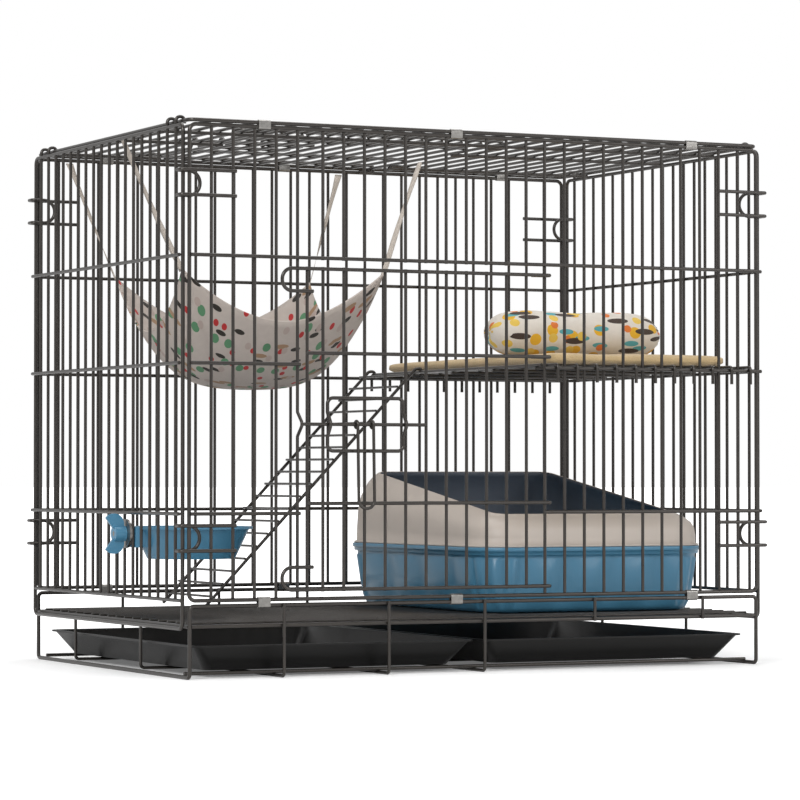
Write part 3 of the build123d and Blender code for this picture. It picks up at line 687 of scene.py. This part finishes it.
@dataclass
class ShelfBedding:
    """The plush mat on the shelf and the printed bolster on it."""

    mat_inset: tuple[float, float, float] = (0.003, 0.003, 0.002)
    mat_corner: float = 0.016
    mat_edge: float = 0.005
    bolster_points: int = 64
    bolster_cuts: int = 46
    end_share: float = 0.42
    waist_depth: float = 0.09
    finishes: Finishes = field(repr=False, default=None)

    def build(self) -> None:
        """Builds both padded pieces."""
        self.mat()
        self.bolster()

    def mat(self) -> None:
        """The mat: a thin cushion with rounded corners and rounded top and bottom edges."""
        low, high = node_box("shelf_mat")
        size = high - low
        mesh = bmesh.new()
        bmesh.ops.create_cube(mesh, size=1.0)
        bmesh.ops.scale(mesh, verts=mesh.verts, vec=size - Vector(self.mat_inset))
        upright = [e for e in mesh.edges if abs(e.verts[0].co.z - e.verts[1].co.z) > 0.5 * size.z]
        bmesh.ops.bevel(mesh, geom=upright, offset=self.mat_corner, segments=6, profile=0.5, affect="EDGES",
                        material=-1)
        level = [e for e in mesh.edges if abs(e.verts[0].co.z - e.verts[1].co.z) < 1e-6 and not e.is_boundary]
        rim = [e for e in level if e.calc_face_angle(0.0) > 1.0]
        bmesh.ops.bevel(mesh, geom=rim, offset=self.mat_edge, segments=4, profile=0.5, affect="EDGES",
                        material=-1)
        bmesh.ops.translate(mesh, verts=mesh.verts, vec=(low + high) / 2)
        piece = finished_object("shelf_mat_plush", mesh, [self.finishes.plush])
        Padding(cap=0.002).inflate(piece)
        self.soften(piece, low.z, 0.0012, 14.0)
        place_piece(piece, Body.CAGE, Slot.TAN, "shelf_mat")

    def bolster(self) -> None:
        """The bolster: a round pillow with puckered ends and a slight waist."""
        low, high = node_box("shelf_bolster")
        middle = (low + high) / 2
        half = (high.x - low.x) / 2
        radius = (high.y - low.y) / 2
        mesh = bmesh.new()
        bmesh.ops.create_cone(mesh, cap_ends=True, cap_tris=False, segments=self.bolster_points,
                              radius1=radius, radius2=radius, depth=2 * half)
        lengths = [e for e in mesh.edges if abs(e.verts[0].co.z - e.verts[1].co.z) > half]
        bmesh.ops.subdivide_edges(mesh, edges=lengths, cuts=self.bolster_cuts, use_grid_fill=True)
        for share in (0.35, 0.3):
            ends = [f for f in mesh.faces if len(f.verts) > 8]
            bmesh.ops.inset_individual(mesh, faces=ends, thickness=radius * share)
        for vert in mesh.verts:
            along = vert.co.z / half
            turn = math.atan2(vert.co.y, vert.co.x)
            out = math.hypot(vert.co.x, vert.co.y) / radius
            fullness = (1.0 - abs(along) ** 7) ** 0.5 if abs(along) < 1.0 else 0.0
            waist = 1.0 - self.waist_depth * math.cos(along * math.pi / 2) ** 2
            gathers = 0.02 * math.sin(11 * turn) * abs(along) ** 3
            pucker = 1.0 + gathers + 0.015 * math.sin(5 * turn + 4 * along)
            shape = max(self.end_share, fullness) * waist * pucker
            if abs(along) > 0.999:
                vert.co.z = math.copysign(half * (0.965 + 0.035 * out), along)
                shape = self.end_share
            vert.co.x, vert.co.y = (radius * out * shape * f(turn) for f in (math.cos, math.sin))
        bmesh.ops.rotate(mesh, verts=mesh.verts, matrix=Matrix.Rotation(math.pi / 2, 3, "Y"))
        bmesh.ops.translate(mesh, verts=mesh.verts, vec=(middle.x, middle.y, low.z + radius - 0.001))
        for vert in mesh.verts:
            vert.co.z = max(vert.co.z, low.z + 0.0004)
        bmesh.ops.recalc_face_normals(mesh, faces=mesh.faces)
        piece = finished_object("shelf_bolster_cotton", mesh, [self.finishes.bolster])
        Padding(cap=0.003, voxel=0.0045).inflate(piece)
        self.soften(piece, low.z, 0.0015, 30.0)
        self.wrap_uv(piece, Vector((middle.x, middle.y, low.z + radius)), radius)
        place_piece(piece, Body.CAGE, Slot.PRINT, "shelf_bolster")

    @staticmethod
    def soften(piece: bpy.types.Object, floor: float, depth: float, scale: float) -> None:
        """Dents the surface gently, and keeps it above what it lies on.

        Args:
            piece: the padded piece.
            floor: the height of what it lies on.
            depth: how deep the dents are.
            scale: how close together they are.
        """
        for vert in piece.data.vertices:
            wave = smooth_noise.noise(vert.co * scale)
            vert.co += vert.normal * depth * wave
            vert.co.z = max(vert.co.z, floor + 0.0003)

    @staticmethod
    def wrap_uv(piece: bpy.types.Object, axis: Vector, radius: float) -> None:
        """Gives a round piece a UV map in metres, unrolled round the X axis.

        Args:
            piece: the round piece.
            axis: a point on its axis.
            radius: the radius at which it is unrolled.
        """
        data = piece.data
        layer = data.uv_layers.new(name="metres")
        for polygon in data.polygons:
            turns = []
            for index in polygon.loop_indices:
                spot = data.vertices[data.loops[index].vertex_index].co - axis
                turns.append(math.atan2(spot.y, spot.z))
            wrap = max(turns) - min(turns) > math.pi
            for index, turn in zip(polygon.loop_indices, turns):
                spot = data.vertices[data.loops[index].vertex_index].co
                turn = turn + 2 * math.pi if wrap and turn < 0 else turn
                layer.data[index].uv = (spot.x, radius * turn)


@dataclass
class Hammock:
    """The printed cloth and the four webbing straps."""

    left: float = 0.084
    right: float = 0.352
    front: float = 0.228
    back: float = 0.448
    edge_height: float = 0.480
    half_width: float = 0.375
    half_depth: float = 0.25
    thickness: float = 0.0022
    flat_size: tuple[float, float] = (0.31, 0.30)
    side_sag: float = 0.083
    end_sag: float = 0.070
    floor_gap: float = 0.003
    grip: float = 0.012
    strap_tuck: float = 0.002
    strap_thickness: float = 0.0012
    cells: int = 44
    finishes: Finishes = field(repr=False, default=None)

    def __post_init__(self) -> None:
        """Reads the cloth's box once and lists the four straps."""
        self.box = node_box("hammock_cloth")
        # A corner of the cloth from the left and front, the strap's top, and the way its width lies
        self.hangs = (
            ((self.left, self.front), (-0.3715, -0.033, 0.631), (0, 1, 0)),
            ((self.right, self.front), (0.078, 0.080, 0.6306), (0, 1, 0)),
            ((self.left, self.back), (-0.3348, 0.2466, 0.626), (1, 0, 0)),
            ((self.right, self.back), (0.0402, 0.2466, 0.626), (1, 0, 0)),
        )

    def build(self) -> None:
        """Builds the cloth and the straps."""
        self.cloth()
        self.straps()

    def spot(self, s: float, t: float) -> Vector:
        """Finds a point of the cloth before it settles.

        Args:
            s: the share along X, from 0 to 1.
            t: the share along Y, from 0 to 1.

        Returns:
            The point, in metres.
        """
        low, high = self.box
        swell = 4 * s * (1 - s)
        edge = high.z - (high.z - low.z - self.side_sag) * swell
        depth = self.end_sag + (edge - low.z - self.floor_gap - self.end_sag) * swell
        x = low.x + (high.x - low.x) * s
        y = low.y + (high.y - low.y) * t
        return Vector((x, y, edge - depth * (1 - (2 * t - 1) ** 2)))

    def cloth(self) -> None:
        """The cloth: a fine grid laid in the trough, settled by simulation and given thickness."""
        mesh = bmesh.new()
        bmesh.ops.create_grid(mesh, x_segments=self.cells, y_segments=self.cells, size=0.5, calc_uvs=True)
        layer = mesh.loops.layers.uv.verify()
        flat_x, flat_y = self.flat_size
        for face in mesh.faces:
            for corner in face.loops:
                corner[layer].uv = ((corner.vert.co.x + 0.5) * flat_x, (corner.vert.co.y + 0.5) * flat_y)
        for vert in mesh.verts:
            vert.co = self.spot(vert.co.x + 0.5, vert.co.y + 0.5)
        piece = finished_object("hammock_cotton", mesh, [self.finishes.hammock])
        self.settle(piece)
        solid = piece.modifiers.new("thickness", "SOLIDIFY")
        solid.thickness = self.thickness
        solid.offset = 0.0
        Padding.apply(piece)
        place_piece(piece, Body.CAGE, Slot.PRINT, "hammock_cloth")

    def settle(self, piece: bpy.types.Object) -> None:
        """Lets the cloth hang from its corners under gravity."""
        corners = [i for i, v in enumerate(piece.data.vertices)
                   if self.corner_distance(v.co) < self.grip]
        group = piece.vertex_groups.new(name="corners")
        group.add(corners, 1.0, "REPLACE")
        cloth = piece.modifiers.new("cloth", "CLOTH")
        cloth.settings.quality = 8
        cloth.settings.mass = 0.3
        cloth.settings.tension_stiffness = 20.0
        cloth.settings.bending_stiffness = 0.4
        cloth.settings.air_damping = 4.0
        cloth.settings.vertex_group_mass = "corners"
        cloth.point_cache.frame_start = 1
        cloth.point_cache.frame_end = 30
        for step in range(1, 31):
            bpy.context.scene.frame_set(step)
        Padding.apply(piece)
        bpy.context.scene.frame_set(1)
        piece.data.polygons.foreach_set("use_smooth", [True] * len(piece.data.polygons))
        LOG.info("cloth settled on %d corner points", len(corners))

    def corner_distance(self, place: Vector) -> float:
        """How far a point is from the nearest corner of the cloth."""
        return min((place - self.spot(s, t)).length for s in (0, 1) for t in (0, 1))

    def straps(self) -> None:
        """The straps: each a run of webbing that twists on its way from the cloth up to its top."""
        mesh = bmesh.new()
        for (x, y), top, across in self.hangs:
            start = Vector((x - self.half_width, y - self.half_depth, self.edge_height - self.strap_tuck))
            self.ribbon(mesh, start, Vector(top), Vector(across))
        bmesh.ops.recalc_face_normals(mesh, faces=mesh.faces)
        piece = finished_object("hammock_webbing", mesh, [self.finishes.webbing])
        place_piece(piece, Body.CAGE, Slot.TAN, "hammock_straps")

    def ribbon(self, mesh: bmesh.types.BMesh, start: Vector, end: Vector, across: Vector) -> None:
        """Adds one strap, wide at its top and rolled narrow at the cloth.

        Args:
            mesh: the mesh that it joins.
            start: its end at the cloth.
            end: its top.
            across: the way its width lies at its top.
        """
        steps = 40
        grid = bmesh.ops.create_grid(mesh, x_segments=steps, y_segments=2, size=0.5)
        run = (end - start).normalized()
        side = run.cross(across).normalized()
        for vert in grid["verts"]:
            t = vert.co.x + 0.5
            s = vert.co.y
            width = 0.0065 + 0.0035 * max(0.0, (t - 0.7) / 0.3) ** 1.2
            twist = 1.35 * (1 - t) + 0.2 * math.sin(9 * t)
            spread = across * math.cos(twist) + side * math.sin(twist)
            sag = side * 0.0015 * math.sin(math.pi * t)
            vert.co = start.lerp(end, t) + spread * width * s + sag
        faces = list({f for v in grid["verts"] for f in v.link_faces})
        bmesh.ops.solidify(mesh, geom=faces, thickness=self.strap_thickness)


@dataclass
class Wirework:
    """The panels, doors, base, trays and fittings, whose CAD shapes stay."""

    finishes: Finishes = field(repr=False, default=None)

    def dress(self) -> None:
        """Gives every CAD node that stays its own finish."""
        kinds = {Slot.BRIGHT.value: self.finishes.bright, Slot.TRAY.value: self.finishes.tray,
                 Slot.BLUE.value: self.finishes.blue, Slot.WIRE.value: self.finishes.wire,
                 Slot.BEIGE.value: self.finishes.beige, Slot.TAN.value: self.finishes.plush,
                 Slot.PRINT.value: self.finishes.hammock}
        slots = {part["node"]: part["material_slot"] for part in frame["record"]["subparts"]}
        for name, node in frame["nodes"].items():
            material = kinds[slots[name]]
            node.data.materials.clear()
            node.data.materials.append(material)
            LOG.info("%s wears %s", name, material.name)


@dataclass
class Studio:
    """The pale floor, the lights and the camera."""

    floor_fade: tuple[float, float, float, float] = (0.5, 2.4, 0.14, 1.0)

    def build(self) -> None:
        """Builds them all."""
        self.floor()
        self.lights()
        self.camera()

    def floor(self) -> None:
        """A wide pale floor that looks white and keeps the cage's soft shadow."""
        mesh = bmesh.new()
        bmesh.ops.create_grid(mesh, x_segments=1, y_segments=1, size=60.0)
        material = bpy.data.materials.new("floor_paint")
        material.use_nodes = True
        shader = material.node_tree.nodes["Principled BSDF"]
        shader.inputs["Base Color"].default_value = (0.93, 0.93, 0.93, 1.0)
        shader.inputs["Roughness"].default_value = 0.9
        shader.inputs["Specular IOR Level"].default_value = 0.1
        shader.inputs["Emission Color"].default_value = (1.0, 1.0, 1.0, 1.0)
        nodes, links = material.node_tree.nodes, material.node_tree.links
        where = nodes.new("ShaderNodeTexCoord")
        far = nodes.new("ShaderNodeVectorMath")
        far.operation = "LENGTH"
        links.new(where.outputs["Object"], far.inputs[0])
        rise = nodes.new("ShaderNodeMapRange")
        for label, value in zip(("From Min", "From Max", "To Min", "To Max"), self.floor_fade):
            rise.inputs[label].default_value = value
        links.new(far.outputs["Value"], rise.inputs["Value"])
        path = nodes.new("ShaderNodeLightPath")
        glow = nodes.new("ShaderNodeMath")
        glow.operation = "MULTIPLY"
        links.new(path.outputs["Is Camera Ray"], glow.inputs[0])
        links.new(rise.outputs["Result"], glow.inputs[1])
        links.new(glow.outputs[0], shader.inputs["Emission Strength"])
        finished_object("studio_floor", mesh, [material], smooth=False)

    def lights(self) -> None:
        """A soft key from the front left, a fill from the right and a white world."""
        world = bpy.data.worlds.new("studio")
        world.use_nodes = True
        bpy.context.scene.world = world
        nodes, links = world.node_tree.nodes, world.node_tree.links
        shader = nodes["Background"]
        shader.inputs["Color"].default_value = (1.0, 1.0, 1.0, 1.0)
        path = nodes.new("ShaderNodeLightPath")
        level = nodes.new("ShaderNodeMapRange")
        level.inputs["To Min"].default_value = 0.62
        level.inputs["To Max"].default_value = 1.0
        links.new(path.outputs["Is Camera Ray"], level.inputs["Value"])
        links.new(level.outputs["Result"], shader.inputs["Strength"])
        for name, place, size, power in (
            ("key", (-2.6, -2.8, 2.6), 1.6, 85.0),
            ("fill", (2.4, -2.6, 1.6), 1.8, 26.0),
            ("top", (0.2, 0.4, 3.2), 2.2, 40.0),
        ):
            lamp = bpy.data.lights.new(name, "AREA")
            lamp.energy = power
            lamp.shape = "DISK"
            lamp.size = size
            holder = bpy.data.objects.new(name, lamp)
            holder.location = place
            aim = Vector((0.0, 0.0, 0.3)) - Vector(place)
            holder.rotation_euler = aim.to_track_quat("-Z", "Y").to_euler()
            bpy.context.scene.collection.objects.link(holder)

    def camera(self) -> None:
        """The camera at the photograph's own place, turn and lens."""
        data = bpy.data.cameras.new("camera")
        data.lens = LENS_MM
        data.sensor_width = SENSOR_MM
        data.clip_end = 60.0
        holder = bpy.data.objects.new("camera", data)
        holder.location = CAMERA_PLACE
        holder.rotation_euler = (math.radians(CAMERA_TILT), 0.0, math.radians(CAMERA_YAW))
        bpy.context.scene.collection.objects.link(holder)
        bpy.context.scene.camera = holder


def main() -> None:
    """Builds the cage's looks and the studio."""
    logging.basicConfig(level=logging.INFO)
    bpy.context.scene.view_settings.view_transform = "Standard"
    finishes = Finishes()
    Wirework(finishes=finishes).dress()
    LitterBox(finishes=finishes).build()
    ShelfBedding(finishes=finishes).build()
    Hammock(finishes=finishes).build()
    Studio().build()


if __name__ == "__main__":
    main()
